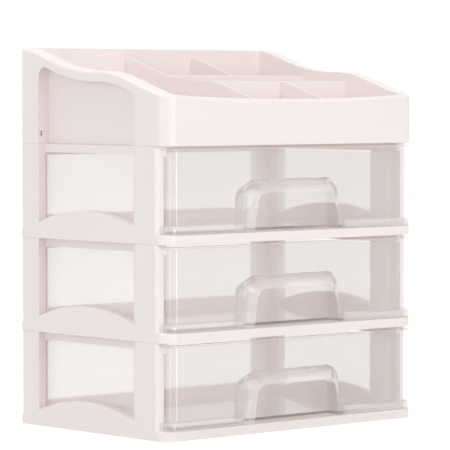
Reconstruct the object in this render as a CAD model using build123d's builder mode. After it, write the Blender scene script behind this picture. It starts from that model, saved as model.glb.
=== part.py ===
"""Desktop makeup box: three stacked frames with clear sliding drawers under a divided open tray.

Millimetres, +Z up, front at -Y. The origin is at the bottom centre of the whole box.
"""
import os
from math import asin, degrees

from build123d import *

# Overall sizes
width = 286.5  # outside of the frames, left to right
depth = 189.5  # outside of the frames, front to back
tier_pitch = 80.0  # height of one frame
tier_names = ("lower", "middle", "upper")
front_corner_radius = 13.0
rear_corner_radius = 2.5
skin = 2.0  # moulded wall of the frames and the tray

# Frame: hollow base plate, hollow side and back walls with windows
plate_top = 8.5
plate_thickness = 2.2
plate_edge_bevel = 1.2
wall_depth = 8.0  # side and back walls, outside to inside
post_setback = 11.7  # front posts stand behind the front edge of the plate
post_round = 3.5
front_post = 27.3  # seen from the side
rear_post = 23.2
back_post = 22.0  # seen from behind
sill_end = 5.0  # side sill above the plate, beside the posts
sill_rise = 11.5  # crown of the side sill above its ends
back_sill = 10.5  # above the plate
guide_lip = 8.7  # inner skin of the front posts runs on behind the window edge
rail_height = 7.2  # top rails along the sides, between the front and rear posts
back_rail_height = 9.8  # top rail between the back posts
rail_depth = 3.0
rib_height = 3.5  # stiffening ribs under the plate
rib_thickness = 1.6
rib_pitch = 60.0
rib_count = 4

# Snap tongues: on top of each post, into the hollow wall above
tongue_height = 12.0
tongue_length = 14.0
tongue_gap = 0.3  # to the skins on both sides
tongue_reach = 0.5  # to the return that the barb clicks into
latch_level = 9.0  # middle of the latch window above the seam
latch_width = 3.0
latch_height = 4.0
barb_depth = 0.9
barb_gap = 0.3  # inside the latch window, all round

# Drawer: clear tub, front wall with a top flange, a bottom ledge and a hooded finger pocket
clear_wall = 2.0
drawer_lift = 0.3  # running gap above the plate
drawer_side_gap = 2.0
drawer_back_gap = 2.0
drawer_setback = 3.7  # front wall behind the front edge of the plate
drawer_front_round = 7.8
drawer_back_round = 6.0
drawer_rail_gap = 1.3  # side walls under the top rails
drawer_top_gap = 2.0  # front wall under the frame above
flange_height = 1.3
ledge_height = 6.8
ledge_round = 3.0
ledge_reach = 4.3  # in front of the front wall
ledge_side_reach = 7.5  # beyond the side walls, in front of the posts
ledge_corner = 10.5
ledge_wall = 1.6
stop_gap = 0.8  # ledge to the front posts when the drawer is shut

# Handle hood on the front wall and the finger pocket behind it
hood_foot = 55.4  # half width at the foot, on the front wall
hood_top = 53.2  # half width at the top corners, on the front wall
hood_height = 43.7  # above the drawer's underside
hood_corner = 12.0
hood_overhang = 3.1  # mouth in front of the front edge of the plate
mouth_foot = 49.5
mouth_top = 43.2
mouth_height = 31.5
mouth_corner = 9.0
mouth_lip = 1.5
pocket_depth = 11.0  # behind the front wall
pocket_taper = 1.0  # narrower at its back, on each side
pocket_drop = 6.0  # lower at its back
handle_clearance = 2.6  # ledge ends beside the hood

# Tray: walls with an S-shaped top line, hollow sides, floor and dividers
tray_back = 81.5  # top of the back wall above the seam
tray_front = 40.3  # front corners
tray_front_middle = 38.2  # lowest point of the scooped front edge
crest_run = 18.2  # rounded crest of the top line, from the back
crest_drop = 2.93
crest_slope = 22.9  # straight stretch below the crest
brow_run = 53.2  # front end of the brow, from the front
brow_rise = 16.1  # above the front corners
hollow_share = 0.655  # where the hollow turns into the brow, of the way between their ends
tray_front_wall = 4.5
tray_side_wall = 14.3  # hollow side walls, outside to inside
tray_floor_top = 6.0
recess_drop = 9.0  # side recess below the top line
recess_corner = 8.0
recess_front = 39.5  # closed wall in front of the recess
rim_round = 3.0
front_rim_round = 4.2  # along the scooped front edge
cell_corner = 3.0
divider = 2.0
divider_drop = 7.5  # dividers below the top line of the sides
column_divider = -29.0  # X of the full-length divider
rear_cross_divider = 60.7  # from the back of the box
front_cross_divider = 116.7
rear_row_divider = 48.0  # X
front_row_divider = 50.0  # X

# Places worked out from the sizes
half = width / 2
back = (depth + hood_overhang) / 2
front = back - depth
inner_half = half - wall_depth
inner_back = back - wall_depth
post_front = front + post_setback
window_front = post_front + front_post
window_rear = back - rear_post
sill_top = plate_top + sill_end
hollow_half = half - wall_depth / 2  # middle of the hollow in the side walls
cut = 1.0  # how far a cutting shape passes the face that it opens

drawer_half = inner_half - drawer_side_gap
drawer_front = front + drawer_setback
drawer_back = inner_back - drawer_back_gap
drawer_bottom = plate_top + drawer_lift
drawer_side_top = tier_pitch - rail_height - drawer_rail_gap
drawer_top = tier_pitch - drawer_top_gap
ledge_back = post_front - stop_gap
mouth_front = front - hood_overhang

tray_inner_half = half - tray_side_wall
tray_inner_front = front + tray_front_wall
tray_inner_back = back - skin
recess_near = front + recess_front
latch_half = half - skin - latch_width / 2

on_edge = (Align.CENTER, Align.MIN)
hanging = (Align.CENTER, Align.MAX)
standing = (Align.CENTER, Align.CENTER, Align.MIN)
running_back = (Align.CENTER, Align.MIN, Align.MIN)


def plan(inset=0.0):
    """Outline of the box seen from above, drawn in by inset, with its rounded corners."""
    with BuildSketch() as outline:
        with Locations((0, (front + back) / 2)):
            Rectangle(width - 2 * inset, depth - 2 * inset)
        corners = outline.vertices().group_by(Axis.Y)
        fillet(corners[0], front_corner_radius - inset)
        fillet(corners[-1], max(rear_corner_radius - inset, skin / 4))
    return outline.sketch


def side_window(grow=0.0):
    """Window of a side wall, grown on its closed edges: open at the top, with an arched sill."""
    low = sill_top - grow
    near = window_front - grow
    far = window_rear + grow
    top = tier_pitch + cut
    with BuildSketch(Plane.YZ) as window:
        with BuildLine():
            Polyline((near, low), (near, top), (far, top), (far, low))
            ThreePointArc((far, low), ((near + far) / 2, low + sill_rise), (near, low))
        make_face()
    return window.sketch


def back_window(grow=0.0):
    """Window of the back wall, grown on its closed edges and open at the top."""
    low = plate_top + back_sill - grow
    with BuildSketch(Plane.XZ.offset(cut - inner_back)) as window:
        with Locations((0, low)):
            Rectangle(2 * (half - back_post + grow), tier_pitch + cut - low, align=on_edge)
    return window.sketch


def arch(at, foot, top, height, corner, sunk=0.0):
    """Outline of the handle across the Y axis at a place, from below the drawer's underside by sunk."""
    low = drawer_bottom - sunk
    high = drawer_bottom + height
    with BuildSketch(Plane.XZ.offset(-at)) as outline:
        with BuildLine():
            Polyline((-foot, low), (foot, low), (top, high), (-top, high), close=True)
        make_face()
        fillet(outline.vertices().group_by(Axis.Y)[-1], corner)
    return outline.sketch


def tub(inset=0.0):
    """Plan of a drawer's tub at its underside, drawn in by inset."""
    with BuildSketch(Plane.XY.offset(drawer_bottom)) as outline:
        with Locations((0, (drawer_front + drawer_back) / 2)):
            Rectangle(2 * (drawer_half - inset), drawer_back - drawer_front - 2 * inset)
        corners = outline.vertices().group_by(Axis.Y)
        fillet(corners[0], drawer_front_round - inset)
        fillet(corners[-1], drawer_back_round - inset)
    return outline.sketch


def collar():
    """Plan of the flange and the ledge round the front of a drawer."""
    with BuildSketch() as outline:
        with Locations((0, drawer_front - ledge_reach)):
            run = ledge_back - drawer_front + ledge_reach
            Rectangle(2 * (drawer_half + ledge_side_reach), run, align=on_edge)
        fillet(outline.vertices().group_by(Axis.Y)[0], min(ledge_corner, run - stop_gap))
    return outline.sketch


def outside_tub(place):
    """Tells whether a place lies in front of a drawer's front wall or beside its side walls."""
    return place.Y < drawer_front - ledge_reach / 2 or abs(place.X) > drawer_half + ledge_side_reach / 2


def on_rim(edge):
    """Tells whether an edge of the solid tray runs along the top of its sides, front or front corners."""
    place = edge @ 0.5
    lowest = min((edge @ 0).Z, (edge @ 1).Z)
    at_corner = place.Y < front + front_corner_radius and abs(place.X) > half - front_corner_radius
    outside = abs(place.X) > half - cut or place.Y < front + cut or at_corner
    return outside and lowest > tray_front - cut


def cells(level):
    """Plan of the room inside the tray's walls at a level above the seam."""
    with BuildSketch(Plane.XY.offset(level)) as room:
        with Locations((0, (tray_inner_front + tray_inner_back) / 2)):
            RectangleRounded(2 * tray_inner_half, tray_inner_back - tray_inner_front, cell_corner)
    return room.sketch


def top_line(drop=0.0):
    """S-shaped top line of the tray's sides, from the back to the front, lowered by drop."""
    high = tray_back - drop
    low = tray_front - drop
    with BuildLine() as line:
        crest = TangentArc((back, high), (back - crest_run, high - crest_drop), tangent=(-1, 0))
        slope = PolarLine(crest @ 1, crest_slope, direction=crest % 1)
        brow_end = Vector(front + brow_run, low + brow_rise)
        hollow_end = slope @ 1 + (brow_end - slope @ 1) * hollow_share
        hollow = TangentArc(slope @ 1, hollow_end, tangent=slope % 1)
        brow = TangentArc(hollow_end, brow_end, tangent=hollow % 1)
        TangentArc(brow_end, (front, low), tangent=brow % 1)
    return line.line


def tray_profile(drop=0.0):
    """Side view of the tray below its top line, lowered by drop."""
    with BuildSketch(Plane.YZ) as profile:
        with BuildLine():
            add(top_line(drop))
            Polyline((front, tray_front - drop), (front, 0), (back, 0), (back, tray_back - drop))
        make_face()
    return profile


# Hollow between the skins of a frame's side and back walls, open at the bottom
with BuildPart() as wall_hollow:
    with BuildSketch():
        add(plan(skin))
        with Locations((0, inner_back + skin)):
            Rectangle(2 * (inner_half + skin), 2 * depth, align=hanging, mode=Mode.SUBTRACT)
    extrude(amount=tier_pitch - skin)
    with Locations((0, post_front + skin, plate_top - plate_thickness)):
        Box(width, depth, tier_pitch, align=(Align.CENTER, Align.MAX, Align.MIN), mode=Mode.SUBTRACT)
    extrude(side_window(skin), amount=width, both=True, mode=Mode.SUBTRACT)
    extrude(back_window(skin), amount=-depth, mode=Mode.SUBTRACT)

# One frame, at the bottom of the stack
with BuildPart() as frame:
    with BuildSketch():
        add(plan())
    extrude(amount=plate_top)
    chamfer(frame.faces().sort_by(Axis.Z)[-1].edges(), plate_edge_bevel)
    with BuildSketch(Plane.XY.offset(plate_top - plate_edge_bevel)) as walls:
        with Locations((0, back)):
            Rectangle(width, back - post_front, align=hanging)
        fillet(walls.vertices().group_by(Axis.Y)[0], post_round)
        fillet(walls.vertices().group_by(Axis.Y)[-1], rear_corner_radius)
        with Locations((0, inner_back)):
            Rectangle(2 * inner_half, 2 * depth, align=hanging, mode=Mode.SUBTRACT)
    extrude(amount=tier_pitch - plate_top + plate_edge_bevel)
    extrude(side_window(), amount=width, both=True, mode=Mode.SUBTRACT)
    extrude(back_window(), amount=-depth, mode=Mode.SUBTRACT)
    add(wall_hollow.part, mode=Mode.SUBTRACT)
    # Hollow under the plate, with ribs across it
    with BuildSketch():
        add(plan(skin))
        with Locations((0, inner_back)):
            Rectangle(2 * inner_half, 2 * depth, align=hanging, mode=Mode.INTERSECT)
    extrude(amount=plate_top - plate_thickness, mode=Mode.SUBTRACT)
    with Locations((0, (front + inner_back) / 2, plate_top - plate_thickness - rib_height)):
        with GridLocations(rib_pitch, 0, rib_count, 1):
            Box(rib_thickness, inner_back - front - skin, rib_height, align=standing)
    # Guide lips and top rails on the inside of the posts, and the back rail between its posts
    for side in (-1, 1):
        with Locations((side * (inner_half + skin / 2), window_front + guide_lip / 2, plate_top)):
            Box(skin, guide_lip, tier_pitch - plate_top, align=standing)
        with Locations((side * (inner_half - rail_depth / 2), post_front, tier_pitch - rail_height)):
            Box(rail_depth, inner_back - post_front, rail_height, align=running_back)
    with Locations((0, inner_back, tier_pitch - back_rail_height)):
        Box(2 * (half - back_post + skin), rail_depth, back_rail_height, align=running_back)
    # Snap tongues on the posts, with barbs on the rear ones
    tongue_depth = wall_depth - 2 * skin - 2 * tongue_gap
    rear_tongue = window_rear + skin + tongue_reach
    for side in (-1, 1):
        for middle in (post_front + front_post / 2, rear_tongue + tongue_length / 2):
            with Locations((side * hollow_half, middle, tier_pitch)):
                Box(tongue_depth, tongue_length, tongue_height, align=standing)
        with Locations((side * latch_half, rear_tongue, tier_pitch + latch_level)):
            Box(latch_width - 2 * barb_gap, 2 * barb_depth, latch_height - 2 * barb_gap)

# Handle of a drawer: hood in front of the front wall and pocket behind it, and the hollow of both
pocket_back = drawer_front + pocket_depth
hood_inner_foot = hood_foot - clear_wall
hood_inner_top = hood_top - clear_wall
hood_inner_height = hood_height - 2 * clear_wall
hood_inner_corner = hood_corner - clear_wall
with BuildPart() as handle:
    loft(
        [
            arch(
                mouth_front,
                mouth_foot + mouth_lip,
                mouth_top + mouth_lip,
                mouth_height + mouth_lip,
                mouth_corner,
            ),
            arch(drawer_front, hood_foot, hood_top, hood_height, hood_corner),
        ],
        ruled=True,
    )
    loft(
        [
            arch(drawer_front, hood_foot, hood_top, hood_height, hood_corner),
            arch(
                pocket_back + clear_wall,
                hood_foot - pocket_taper,
                hood_top - pocket_taper,
                hood_height - pocket_drop,
                hood_corner,
            ),
        ],
        ruled=True,
    )
with BuildPart() as handle_hollow:
    loft(
        [
            arch(mouth_front, mouth_foot, mouth_top, mouth_height, mouth_corner, cut),
            arch(drawer_front, hood_inner_foot, hood_inner_top, hood_inner_height, hood_inner_corner, cut),
        ],
        ruled=True,
    )
    loft(
        [
            arch(drawer_front, hood_inner_foot, hood_inner_top, hood_inner_height, hood_inner_corner, cut),
            arch(
                pocket_back,
                hood_inner_foot - pocket_taper,
                hood_inner_top - pocket_taper,
                hood_inner_height - pocket_drop,
                hood_inner_corner,
                cut,
            ),
        ],
        ruled=True,
    )

# Ledge along the foot of a drawer's front, hollow from below, in two lengths beside the handle
with BuildPart() as ledge:
    with BuildSketch(Plane.XY.offset(drawer_bottom)) as ledge_plan:
        add(collar())
        with Locations((0, drawer_front - ledge_reach)):
            Rectangle(2 * (hood_foot + handle_clearance), ledge_reach, align=on_edge, mode=Mode.SUBTRACT)
    extrude(amount=ledge_height)
    ledge_rim = ledge.faces().sort_by(Axis.Z)[-1].edges()
    fillet(ledge_rim.filter_by(lambda e: e.center().Y < ledge_back and outside_tub(e.center())), ledge_round)
with BuildPart() as ledge_hollow:
    with BuildSketch(Plane.XY.offset(drawer_bottom)):
        offset(ledge_plan.sketch.moved(Location((0, 0, 0))), amount=-ledge_wall)
        with Locations((0, drawer_front)):
            Rectangle(2 * drawer_half, depth, align=on_edge, mode=Mode.SUBTRACT)
    extrude(amount=ledge_height - ledge_wall)

# One drawer, shut in the lowest frame
with BuildPart() as drawer:
    extrude(tub(), amount=drawer_top - drawer_bottom)
    with Locations((0, ledge_back, drawer_side_top)):
        Box(width, depth, tier_pitch, align=running_back, mode=Mode.SUBTRACT)
    add(ledge.part)
    extrude(collar().moved(Location((0, 0, drawer_top - flange_height))), amount=flange_height)
    extrude(tub(clear_wall).moved(Location((0, 0, clear_wall))), amount=tier_pitch, mode=Mode.SUBTRACT)
    add(ledge_hollow.part, mode=Mode.SUBTRACT)
    add(handle.part)
    add(handle_hollow.part, mode=Mode.SUBTRACT)

# Dividers of the tray, under the lowered top line
with BuildPart() as dividers:
    with BuildSketch(Plane.XY.offset(tray_floor_top)):
        with Locations((column_divider, tray_inner_front)):
            Rectangle(divider, tray_inner_back - tray_inner_front, align=on_edge)
        for run in (rear_cross_divider, front_cross_divider):
            with Locations((column_divider, back - run)):
                Rectangle(tray_inner_half - column_divider, divider, align=(Align.MIN, Align.CENTER))
        with Locations((rear_row_divider, back - rear_cross_divider)):
            Rectangle(divider, rear_cross_divider - skin, align=on_edge)
        with Locations((front_row_divider, tray_inner_front)):
            Rectangle(divider, back - front_cross_divider - tray_inner_front, align=on_edge)
    extrude(amount=tray_back)
    extrude(tray_profile(divider_drop).sketch, amount=half, both=True, mode=Mode.INTERSECT)

# Hollow of one of the tray's side walls, between the returns, seen from the side
with BuildSketch(Plane.YZ) as side_hollow:
    add(tray_profile(skin).sketch_local)
    side_near = front + front_corner_radius
    with Locations((side_near, 0)):
        Rectangle(tray_inner_back - side_near, tray_back, align=Align.MIN, mode=Mode.INTERSECT)
    for near in (recess_near - skin, window_rear):
        with Locations((near, 0)):
            Rectangle(skin, tray_back, align=Align.MIN, mode=Mode.SUBTRACT)

# Recess in the outer skin of the tray's sides, open at the bottom
with BuildSketch(Plane.YZ) as recess:
    add(tray_profile(recess_drop).sketch_local)
    with Locations((recess_near, 0)):
        Rectangle(window_rear - recess_near, tray_back, align=Align.MIN, mode=Mode.INTERSECT)
    fillet(recess.vertices().filter_by(lambda v: v.Y > tray_floor_top), recess_corner)

# The tray, with its seam at the ground
with BuildPart() as tray:
    extrude(tray_profile().sketch, amount=half, both=True)
    fillet(tray.edges().filter_by(Axis.Z).group_by(Axis.Y)[0], front_corner_radius)
    fillet(tray.edges().filter_by(on_rim), rim_round)
    rear_edges = tray.faces().sort_by(Axis.Y)[-1].edges()
    fillet(rear_edges.filter_by(lambda e: e.center().Z > cut), rear_corner_radius)
    # Scoop of the front edge, running out into the top line at the corners
    front_fall = top_line().edges().sort_by(Axis.X)[0] % 1
    scoop_end = tray_front + tray_front_wall * front_fall.Y / front_fall.X
    scoop_rise = (scoop_end - tray_front_middle) * (half / tray_inner_half) ** 2
    scoop_side = tray_front_middle + scoop_rise
    with BuildSketch(Plane.XZ.offset(cut - front)):
        with BuildLine():
            ThreePointArc((-half, scoop_side), (0, tray_front_middle), (half, scoop_side))
            Polyline((half, scoop_side), (half, tray_back), (-half, tray_back), (-half, scoop_side))
        make_face()
    extrude(amount=-tray_front_wall - cut, mode=Mode.SUBTRACT)
    # Rounding of the scooped edge, which runs out round the corners
    scoop_radius = (half**2 + scoop_rise**2) / (2 * scoop_rise)
    scoop_axis = Axis((0, front, tray_front_middle + scoop_radius), (0, 1, 0))
    with BuildSketch(Plane.YZ) as front_edge:
        with Locations((front + front_rim_round, tray_front_middle - front_rim_round)):
            Rectangle(front_rim_round + cut, front_rim_round + cut, align=(Align.MAX, Align.MIN))
            Circle(front_rim_round, mode=Mode.SUBTRACT)
    for side in (-1, 1):
        revolve(
            front_edge.sketch,
            axis=scoop_axis,
            revolution_arc=side * degrees(asin(half / scoop_radius)),
            mode=Mode.SUBTRACT,
        )
    # Cells, hollow under the floor, hollow sides with their recess and latch windows
    extrude(cells(tray_floor_top), amount=tray_back, mode=Mode.SUBTRACT)
    extrude(cells(0), amount=tray_floor_top - skin, mode=Mode.SUBTRACT)
    for side in (-1, 1):
        inner = Location((side * (tray_inner_half + skin), 0, 0))
        outer = Location((side * (half - skin), 0, 0))
        hollow_depth = tray_side_wall - 2 * skin
        extrude(side_hollow.sketch.moved(inner), amount=side * hollow_depth, mode=Mode.SUBTRACT)
        extrude(recess.sketch.moved(outer), amount=side * (skin + cut), mode=Mode.SUBTRACT)
        with Locations((side * latch_half, window_rear, latch_level)):
            Box(latch_width, 2 * (skin + cut), latch_height, mode=Mode.SUBTRACT)
    add(dividers.part)

os.makedirs("parts", exist_ok=True)
for index, tier in enumerate(tier_names):
    for name, piece in (("frame", frame), ("drawer", drawer)):
        stacked = piece.part.moved(Location((0, 0, index * tier_pitch)))
        stacked.label = f"{name}_{tier}"
        export_step(stacked, f"parts/{stacked.label}.step")
top_tray = tray.part.moved(Location((0, 0, len(tier_names) * tier_pitch)))
top_tray.label = "top_tray"
export_step(top_tray, "parts/top_tray.step")
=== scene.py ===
"""Studio picture of a desktop makeup box: pale moulded frames and tray, clear sliding drawers."""

import logging
import math
from dataclasses import dataclass, field
from enum import Enum

import bpy
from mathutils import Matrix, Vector

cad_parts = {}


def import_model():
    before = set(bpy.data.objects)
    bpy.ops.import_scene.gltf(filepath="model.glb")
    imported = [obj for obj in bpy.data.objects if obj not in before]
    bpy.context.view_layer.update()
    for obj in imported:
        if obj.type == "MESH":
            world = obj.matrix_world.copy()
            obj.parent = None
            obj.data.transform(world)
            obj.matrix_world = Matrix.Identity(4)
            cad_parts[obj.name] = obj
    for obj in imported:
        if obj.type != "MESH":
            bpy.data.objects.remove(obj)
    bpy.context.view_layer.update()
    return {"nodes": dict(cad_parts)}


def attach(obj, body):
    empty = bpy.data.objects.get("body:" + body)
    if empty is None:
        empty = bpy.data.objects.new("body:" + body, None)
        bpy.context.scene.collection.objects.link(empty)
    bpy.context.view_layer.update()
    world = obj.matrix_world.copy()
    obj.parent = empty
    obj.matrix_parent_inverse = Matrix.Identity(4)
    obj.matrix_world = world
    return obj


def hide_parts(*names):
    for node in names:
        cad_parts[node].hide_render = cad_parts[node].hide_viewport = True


LOG = logging.getLogger("makeup_box")
MM = 0.001
CABINET = "cabinet"

Colour = tuple[float, float, float]
Place = tuple[float, float, float]

WHITE: Colour = (1.0, 1.0, 1.0)
NOISE_MIDDLE = (0.3, 0.7)


class Tier(Enum):
    """The three storeys of the box, named from the bottom."""

    LOWER = "lower"
    MIDDLE = "middle"
    UPPER = "upper"


class Slot(Enum):
    """The record's material slots."""

    PALE = "pale_plastic"
    CLEAR = "clear_plastic"


class Ray(Enum):
    """Kinds of ray that a finish can tell apart."""

    CAMERA = "Is Camera Ray"
    GLOSSY = "Is Glossy Ray"
    TRANSMISSION = "Is Transmission Ray"
    SHADOW = "Is Shadow Ray"
    DIFFUSE = "Is Diffuse Ray"


class NodeKind(Enum):
    """Shader nodes that the finishes are wired from."""

    PLACE = "ShaderNodeTexCoord"
    SPLIT = "ShaderNodeSeparateXYZ"
    NOISE = "ShaderNodeTexNoise"
    RAMP = "ShaderNodeValToRGB"
    RANGE = "ShaderNodeMapRange"
    BUMP = "ShaderNodeBump"
    RAY = "ShaderNodeLightPath"
    MATH = "ShaderNodeMath"
    MIX = "ShaderNodeMixShader"
    CLEAR = "ShaderNodeBsdfTransparent"
    GLOW = "ShaderNodeEmission"


WHITE_RAYS = (Ray.CAMERA, Ray.GLOSSY, Ray.TRANSMISSION)
LIGHTING_RAYS = (Ray.SHADOW, Ray.DIFFUSE)


def opaque(colour: Colour) -> tuple[float, float, float, float]:
    """Gives a colour the full alpha that a colour socket asks for."""
    return (*colour, 1.0)


@dataclass
class Wiring:
    """The node tree of a material or of the world, with short calls to add and join its nodes."""

    tree: bpy.types.NodeTree

    def add(self, kind: NodeKind, **sockets: object) -> bpy.types.Node:
        """Adds a node and sets its sockets, with spaces in socket names written as underscores.

        Args:
            kind: Kind of node.
            **sockets: Plain values of its inputs.

        Returns:
            The new node.
        """
        node = self.tree.nodes.new(kind.value)
        for name, value in sockets.items():
            node.inputs[name.replace("_", " ")].default_value = value
        return node

    def join(self, source: bpy.types.NodeSocket, target: bpy.types.NodeSocket) -> None:
        """Joins an output to an input."""
        self.tree.links.new(source, target)

    def noise(self, scale: float, detail: float) -> bpy.types.NodeSocket:
        """Adds noise that lies still in the piece.

        Args:
            scale: Features per metre, about.
            detail: Octaves of finer noise.

        Returns:
            Its value, from 0 to 1.
        """
        place = self.add(NodeKind.PLACE)
        noise = self.add(NodeKind.NOISE, Scale=scale, Detail=detail)
        self.join(place.outputs["Object"], noise.inputs["Vector"])
        return noise.outputs["Fac"]

    def spread(self, value: bpy.types.NodeSocket, low: float, high: float) -> bpy.types.NodeSocket:
        """Stretches the middle of a noise over a range.

        Args:
            value: Noise from 0 to 1.
            low: Result where the noise is weak.
            high: Result where it is strong.

        Returns:
            The stretched value.
        """
        weak, strong = NOISE_MIDDLE
        node = self.add(NodeKind.RANGE, From_Min=weak, From_Max=strong, To_Min=low, To_Max=high)
        self.join(value, node.inputs["Value"])
        return node.outputs["Result"]

    def bump(self, height: bpy.types.NodeSocket, strength: float, distance: float) -> bpy.types.NodeSocket:
        """Turns a noise into relief.

        Args:
            height: Noise from 0 to 1.
            strength: How much of the relief shows, from 0 to 1.
            distance: Height of the relief in metres.

        Returns:
            The normal with the relief.
        """
        node = self.add(NodeKind.BUMP, Strength=strength, Distance=distance)
        self.join(height, node.inputs["Height"])
        return node.outputs["Normal"]

    def blend(self, value: bpy.types.NodeSocket, first: Colour, last: Colour,
              stops: tuple[tuple[float, Colour], ...] = ()) -> bpy.types.NodeSocket:
        """Blends colours.

        Args:
            value: 0 for the first colour, 1 for the last.
            first: Colour at 0.
            last: Colour at 1.
            stops: Colours on the way, each with its value.

        Returns:
            The blended colour.
        """
        ramp = self.add(NodeKind.RAMP)
        ramp.color_ramp.elements[0].color = opaque(first)
        ramp.color_ramp.elements[1].color = opaque(last)
        for position, colour in stops:
            ramp.color_ramp.elements.new(position).color = opaque(colour)
        self.join(value, ramp.inputs["Fac"])
        return ramp.outputs["Color"]

    def any_ray(self, rays: tuple[Ray, ...]) -> bpy.types.NodeSocket:
        """Tells some kinds of ray from the others.

        Args:
            rays: The kinds to tell.

        Returns:
            1 for such a ray, else 0.
        """
        path = self.add(NodeKind.RAY)
        total = path.outputs[rays[0].value]
        for ray in rays[1:]:
            either = self.add(NodeKind.MATH)
            either.operation = "MAXIMUM"
            self.join(total, either.inputs[0])
            self.join(path.outputs[ray.value], either.inputs[1])
            total = either.outputs["Value"]
        return total

    def mix(self, share: bpy.types.NodeSocket, first: bpy.types.Node, last: bpy.types.Node) -> None:
        """Mixes two shaders and puts the mix on the surface.

        Args:
            share: Share of the last shader.
            first: First shader.
            last: Last shader.
        """
        mix = self.add(NodeKind.MIX)
        self.join(share, mix.inputs["Fac"])
        self.join(first.outputs[0], mix.inputs[1])
        self.join(last.outputs[0], mix.inputs[2])
        self.join(mix.outputs["Shader"], self.tree.nodes["Material Output"].inputs["Surface"])


def new_material(name: str) -> tuple[bpy.types.Material, Wiring, bpy.types.Node]:
    """Makes a material with one Principled shader.

    Args:
        name: Name of the material.

    Returns:
        The material, its wiring and the shader.
    """
    material = bpy.data.materials.new(name)
    material.use_nodes = True
    return material, Wiring(material.node_tree), material.node_tree.nodes["Principled BSDF"]


@dataclass(frozen=True)
class PalePlastic:
    """Opaque pinkish white moulding: satin, with a fine grain and faint clouding."""

    light: Colour = (0.930, 0.860, 0.845)
    dark: Colour = (0.920, 0.848, 0.832)
    bend: float = 1.49
    smooth: float = 0.32
    rough: float = 0.42
    cloud_scale: float = 14.0
    cloud_detail: float = 3.0
    grain_scale: float = 900.0
    grain_detail: float = 2.0
    grain_strength: float = 0.25
    grain_height: float = 0.03 * MM

    def material(self) -> bpy.types.Material:
        """Wires the finish.

        Returns:
            The material.
        """
        material, wiring, shader = new_material("pale_moulding")
        clouds = wiring.noise(self.cloud_scale, self.cloud_detail)
        colour = wiring.blend(wiring.spread(clouds, 0.0, 1.0), self.dark, self.light)
        wiring.join(colour, shader.inputs["Base Color"])
        wiring.join(wiring.spread(clouds, self.smooth, self.rough), shader.inputs["Roughness"])
        grain = wiring.noise(self.grain_scale, self.grain_detail)
        relief = wiring.bump(grain, self.grain_strength, self.grain_height)
        wiring.join(relief, shader.inputs["Normal"])
        shader.inputs["IOR"].default_value = self.bend
        return material


@dataclass(frozen=True)
class ClearPlastic:
    """Clear moulding: glossy, faintly milky and warm, with the soft ripple of a moulded wall, and painted
    shade on its front wall and finger pocket.

    The depths are places along Y of the shut drawer, from the hood back to the tub.
    """

    hood_tint: Colour = (0.985, 0.976, 0.972)
    # painted shade: a darker tint for the front wall and the finger pocket
    front_painted_shade: Colour = (0.888, 0.872, 0.862)
    wall_tint: Colour = (0.983, 0.980, 0.975)
    hood_depth: float = -92.0 * MM
    # depths between which the front wall and pocket carry the painted shade
    painted_shade_depths: tuple[float, float] = (-90.0 * MM, -77.0 * MM)
    wall_depth: float = -72.0 * MM
    shade: Colour = (0.990, 0.986, 0.985)
    clarity: float = 0.83
    bend: float = 1.05
    gloss: float = 0.8
    gloss_rough: float = 0.05
    smooth: float = 0.10
    rough: float = 0.18
    ripple_scale: float = 30.0
    ripple_detail: float = 1.0
    ripple_strength: float = 0.1
    ripple_height: float = 0.05 * MM

    def material(self) -> bpy.types.Material:
        """Wires the finish, which lets the lamps and the light of the room through.

        Returns:
            The material.
        """
        material, wiring, shader = new_material("clear_moulding")
        wiring.join(self.tint_with_painted_shade(wiring), shader.inputs["Base Color"])
        shader.inputs["Transmission Weight"].default_value = self.clarity
        shader.inputs["IOR"].default_value = self.bend
        shader.inputs["Coat Weight"].default_value = self.gloss
        shader.inputs["Coat Roughness"].default_value = self.gloss_rough
        ripple = wiring.noise(self.ripple_scale, self.ripple_detail)
        wiring.join(wiring.spread(ripple, self.smooth, self.rough), shader.inputs["Roughness"])
        relief = wiring.bump(ripple, self.ripple_strength, self.ripple_height)
        wiring.join(relief, shader.inputs["Normal"])
        clear = wiring.add(NodeKind.CLEAR, Color=opaque(self.shade))
        wiring.mix(wiring.any_ray(LIGHTING_RAYS), shader, clear)
        return material

    def tint_with_painted_shade(self, wiring: Wiring) -> bpy.types.NodeSocket:
        """Colours the front wall and the finger pocket more deeply than the hood and the tub: painted
        shade that darkens what is seen through them.

        Args:
            wiring: Node tree to add to.

        Returns:
            The colour.
        """
        place = wiring.add(NodeKind.PLACE)
        split = wiring.add(NodeKind.SPLIT)
        wiring.join(place.outputs["Object"], split.inputs["Vector"])
        depth = wiring.add(NodeKind.RANGE, From_Min=self.hood_depth, From_Max=self.wall_depth)
        wiring.join(split.outputs["Y"], depth.inputs["Value"])
        run = self.wall_depth - self.hood_depth
        # the front band between these depths takes the painted shade
        stops = tuple(((front - self.hood_depth) / run, self.front_painted_shade) for front in self.painted_shade_depths)
        return wiring.blend(depth.outputs["Result"], self.hood_tint, self.wall_tint, stops)


def dress(piece: bpy.types.Object, material: bpy.types.Material) -> None:
    """Gives an object one material all over."""
    piece.data.materials.clear()
    piece.data.materials.append(material)


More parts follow.
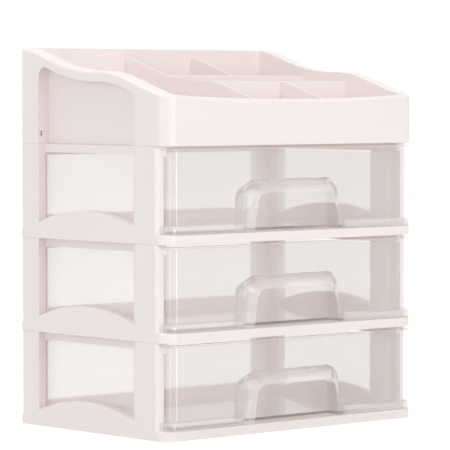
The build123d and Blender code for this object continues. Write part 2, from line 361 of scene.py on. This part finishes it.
@dataclass
class Moulding:
    """One moulding of the box, made from its CAD solid; angles are in degrees."""

    node: str
    body: str
    slot: Slot
    finish: bpy.types.Material
    weld: float = 0.01 * MM
    flat_angle: float = 0.05
    smooth_angle: float = 30.0

    def build(self, solid: bpy.types.Object) -> bpy.types.Object:
        """Makes the piece that stands for the solid.

        Args:
            solid: The CAD node's object.

        Returns:
            The finished piece.
        """
        piece = self.copy(solid)
        self.weld_faces()
        self.shape_edges(piece)
        self.smooth_faces(piece)
        dress(piece, self.finish)
        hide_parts(self.node)
        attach(piece, self.body)
        return piece

    def copy(self, solid: bpy.types.Object) -> bpy.types.Object:
        """Copies the solid and leaves only the copy selected.

        Args:
            solid: The CAD node's object.

        Returns:
            The copy, with its own mesh.
        """
        bpy.ops.object.select_all(action="DESELECT")
        piece = bpy.data.objects.new(f"{self.node}_moulding", solid.data.copy())
        bpy.context.scene.collection.objects.link(piece)
        piece.select_set(True)
        bpy.context.view_layer.objects.active = piece
        return piece

    def weld_faces(self) -> None:
        """Joins the solid's loose triangles and takes the lines out of its flat faces."""
        bpy.ops.object.mode_set(mode="EDIT")
        bpy.ops.mesh.select_all(action="SELECT")
        bpy.ops.mesh.remove_doubles(threshold=self.weld)
        bpy.ops.mesh.dissolve_limited(angle_limit=math.radians(self.flat_angle))
        bpy.ops.object.mode_set(mode="OBJECT")

    def shape_edges(self, piece: bpy.types.Object) -> None:
        """Leaves the edges as they are; a moulding with eased edges rounds them here."""

    def smooth_faces(self, piece: bpy.types.Object) -> None:
        """Smooths the curved faces of the selected piece."""
        bpy.ops.object.shade_smooth_by_angle(angle=math.radians(self.smooth_angle))


@dataclass
class ClearMoulding(Moulding):
    """A clear moulding, whose large flat walls must stay quite flat or they bend the view through them."""

    smooth_angle: float = 20.0
    flat_area: float = 1100.0 * MM * MM

    def smooth_faces(self, piece: bpy.types.Object) -> None:
        """Smooths the curved faces and cuts the large flat ones off from them.

        Args:
            piece: The welded piece.
        """
        super().smooth_faces(piece)
        bpy.ops.object.mode_set(mode="EDIT")
        bpy.ops.mesh.select_mode(type="FACE")
        bpy.ops.mesh.select_all(action="DESELECT")
        bpy.ops.object.mode_set(mode="OBJECT")
        for face in piece.data.polygons:
            face.select = face.area > self.flat_area
        bpy.ops.object.mode_set(mode="EDIT")
        bpy.ops.mesh.mark_sharp()
        bpy.ops.object.mode_set(mode="OBJECT")


@dataclass
class PaleMoulding(Moulding):
    """A pale moulding, with its sharp edges eased as a mould leaves them."""

    edge_round: float = 0.35 * MM
    edge_steps: int = 2
    sharp_angle: float = 50.0
    flat_weight: int = 100

    def shape_edges(self, piece: bpy.types.Object) -> None:
        """Rounds the sharp edges.

        Args:
            piece: The welded piece.
        """
        bevel = piece.modifiers.new("eased", "BEVEL")
        bevel.width = self.edge_round
        bevel.segments = self.edge_steps
        bevel.limit_method = "ANGLE"
        bevel.angle_limit = math.radians(self.sharp_angle)
        bevel.use_clamp_overlap = False
        bpy.ops.object.modifier_apply(modifier=bevel.name)

    def smooth_faces(self, piece: bpy.types.Object) -> None:
        """Smooths the curved faces and keeps the flat ones flat.

        Args:
            piece: The piece with its final edges.
        """
        super().smooth_faces(piece)
        weighting = piece.modifiers.new("flat_faces", "WEIGHTED_NORMAL")
        weighting.keep_sharp = True
        weighting.weight = self.flat_weight
        bpy.ops.object.modifier_apply(modifier=weighting.name)


@dataclass(frozen=True)
class Lamp:
    """A softbox: its place, width, height and the height it faces in metres, its power in watts."""

    name: str
    place: Place
    width: float
    height: float
    power: float
    aim_height: float

    def build(self) -> None:
        """Hangs the lamp facing the axis of the box, out of sight, also through the clear drawers."""
        data = bpy.data.lights.new(self.name, "AREA")
        data.shape = "RECTANGLE"
        data.size = self.width
        data.size_y = self.height
        data.energy = self.power
        lamp = bpy.data.objects.new(self.name, data)
        bpy.context.scene.collection.objects.link(lamp)
        lamp.location = self.place
        lamp.visible_camera = False
        lamp.visible_transmission = False
        aim = Vector((0.0, 0.0, self.aim_height)) - Vector(self.place)
        lamp.rotation_euler = aim.to_track_quat("-Z", "Y").to_euler()


def studio_lamps() -> tuple[Lamp, ...]:
    """Lists the lamps.

    The two upright ones reach below the floor, so that the rounded corners of the drawers mirror
    them in full height.

    Returns:
        The lamps.
    """
    middle = 0.35
    tall = 1.9
    return (
        Lamp("front_box", (-0.07, -2.4, middle), width=0.6, height=tall, power=20.5, aim_height=middle),
        Lamp("left_box", (-2.35, -0.49, middle), width=0.5, height=tall, power=9.4, aim_height=middle),
        Lamp("top_box", (-0.35, 0.5, 2.3), width=1.2, height=1.2, power=13.0, aim_height=0.16),
    )


@dataclass
class Studio:
    """White room: floor, lamps, world and the camera of the picture; angles are in degrees."""

    floor_size: float = 8.0
    floor_colour: Colour = (0.8, 0.8, 0.8)
    floor_rough: float = 0.9
    floor_glow: float = 1.25
    floor_glow_share: float = 0.70
    ambient: float = 0.69
    white_level: float = 1.0
    camera_place: Place = (-1.68007, -1.88570, 0.28607)
    yaw: float = 41.77
    pitch: float = 2.65
    lens: float = 234.1
    sensor: float = 36.0
    sight: float = 50.0
    bounces: int = 32
    diffuse_bounces: int = 10
    clear_bounces: int = 24
    shadow_layers: int = 32
    lamps: tuple[Lamp, ...] = field(default_factory=studio_lamps)

    def build(self) -> None:
        """Builds everything that isn't part of the box."""
        self.build_floor()
        self.build_world()
        for lamp in self.lamps:
            lamp.build()
        self.build_camera()
        self.set_bounces()

    def build_floor(self) -> None:
        """Lays a white floor that keeps a faint shadow of the box."""
        bpy.ops.object.select_all(action="DESELECT")
        bpy.ops.mesh.primitive_plane_add(size=self.floor_size)
        floor = bpy.context.object
        floor.name = "floor"
        floor.visible_glossy = False
        material, wiring, shader = new_material("white_floor")
        shader.inputs["Base Color"].default_value = opaque(self.floor_colour)
        shader.inputs["Roughness"].default_value = self.floor_rough
        glow = wiring.add(NodeKind.GLOW, Color=opaque(WHITE), Strength=self.floor_glow)
        share = wiring.add(NodeKind.RANGE, To_Min=0.0, To_Max=self.floor_glow_share)
        wiring.join(wiring.any_ray(WHITE_RAYS), share.inputs["Value"])
        wiring.mix(share.outputs["Result"], shader, glow)
        dress(floor, material)

    def build_world(self) -> None:
        """Makes the room white to look at and softly lit."""
        world = bpy.data.worlds.new("white_room")
        bpy.context.scene.world = world
        world.use_nodes = True
        wiring = Wiring(world.node_tree)
        level = wiring.add(NodeKind.RANGE, To_Min=self.ambient, To_Max=self.white_level)
        wiring.join(wiring.any_ray(WHITE_RAYS), level.inputs["Value"])
        sky = world.node_tree.nodes["Background"]
        sky.inputs["Color"].default_value = opaque(WHITE)
        wiring.join(level.outputs["Result"], sky.inputs["Strength"])

    def build_camera(self) -> None:
        """Sets the camera where the picture was taken from."""
        data = bpy.data.cameras.new("picture_camera")
        data.lens = self.lens
        data.sensor_width = self.sensor
        data.clip_end = self.sight
        camera = bpy.data.objects.new("picture_camera", data)
        bpy.context.scene.collection.objects.link(camera)
        camera.location = self.camera_place
        camera.rotation_euler = (math.radians(90.0 - self.pitch), 0.0, math.radians(-self.yaw))
        bpy.context.scene.camera = camera
        bpy.context.scene.view_settings.view_transform = "Standard"

    def set_bounces(self) -> None:
        """Lets light go deep into the box, through its many clear walls."""
        cycles = bpy.context.scene.cycles
        cycles.max_bounces = self.bounces
        cycles.diffuse_bounces = self.diffuse_bounces
        cycles.transmission_bounces = self.clear_bounces
        cycles.transparent_max_bounces = self.shadow_layers


@dataclass
class MakeupBox:
    """The whole box: a frame and a drawer for each tier, and the tray on top."""

    pale: bpy.types.Material
    clear: bpy.types.Material

    def mouldings(self) -> list[Moulding]:
        """Lists the mouldings of the box.

        Returns:
            The tray, and the frame and the drawer of each tier.
        """
        pieces: list[Moulding] = [PaleMoulding("top_tray", CABINET, Slot.PALE, self.pale)]
        for tier in Tier:
            drawer_body = f"{tier.value}_drawer"
            pieces.append(PaleMoulding(f"frame_{tier.value}", CABINET, Slot.PALE, self.pale))
            pieces.append(ClearMoulding(f"drawer_{tier.value}", drawer_body, Slot.CLEAR, self.clear))
        return pieces

    def build(self, solids: dict[str, bpy.types.Object]) -> None:
        """Builds every moulding and reports it.

        Args:
            solids: The CAD nodes' objects, by name.
        """
        for moulding in self.mouldings():
            piece = moulding.build(solids[moulding.node])
            LOG.info("built %s with %d faces", piece.name, len(piece.data.polygons))


def main() -> None:
    """Loads the frame, builds the box and sets it in the studio."""
    logging.basicConfig(level=logging.INFO)
    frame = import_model()
    MakeupBox(PalePlastic().material(), ClearPlastic().material()).build(frame["nodes"])
    Studio().build()


if __name__ == "__main__":
    main()
